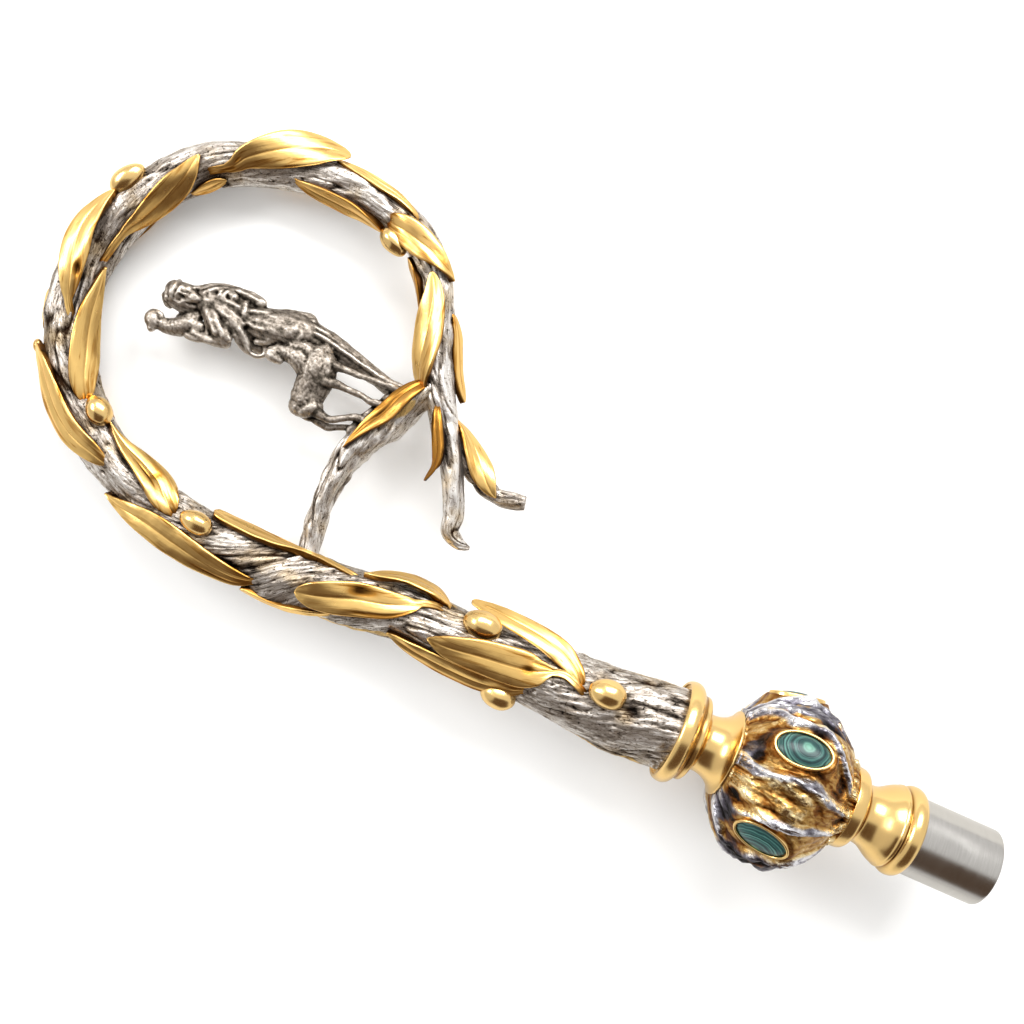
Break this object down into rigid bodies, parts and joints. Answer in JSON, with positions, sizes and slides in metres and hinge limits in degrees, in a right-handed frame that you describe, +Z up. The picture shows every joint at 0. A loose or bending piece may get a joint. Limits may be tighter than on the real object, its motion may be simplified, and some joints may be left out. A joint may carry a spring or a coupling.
{
  "type": "crozier head",
  "caption": "Crozier head of cast olive branch bent into a crook, with gilt leaves and olives, a shepherd figure, a stone-set knop and a steel ferrule.",
  "frame": {"origin": "bottom centre of the bounding box of the head as it lies, on the surface it lies on", "axes": "+Y from the ferrule's end towards the top of the crook, +X towards the crook's loop, +Z up from the surface; the staff's axis dips 3.9 degrees towards the crook, which rests on its leaves as the knop rests on its side"},
  "size_m": [0.1868, 0.4162, 0.0686],
  "materials": {
    "steel": "brushed steel tube",
    "gilt": "polished gilt brass, warmer and darker in the hollows",
    "silver": "silver-plated brass bark darkened in its hollows, with gilt leaves and olives",
    "dark_silver": "silver-plated brass, darkened and rubbed bright on its high places",
    "malachite": "polished malachite, banded in rings"
  },
  "bodies": {
    "root": {"steel_ferrule": "steel", "lower_collar": "gilt", "knop": "gilt", "upper_collar": "gilt", "crook": "silver", "good_shepherd": "dark_silver", "cabochon_1": "malachite", "cabochon_2": "malachite", "cabochon_3": "malachite", "cabochon_4": "malachite", "cabochon_5": "malachite"}
  },
  "joints": []
}
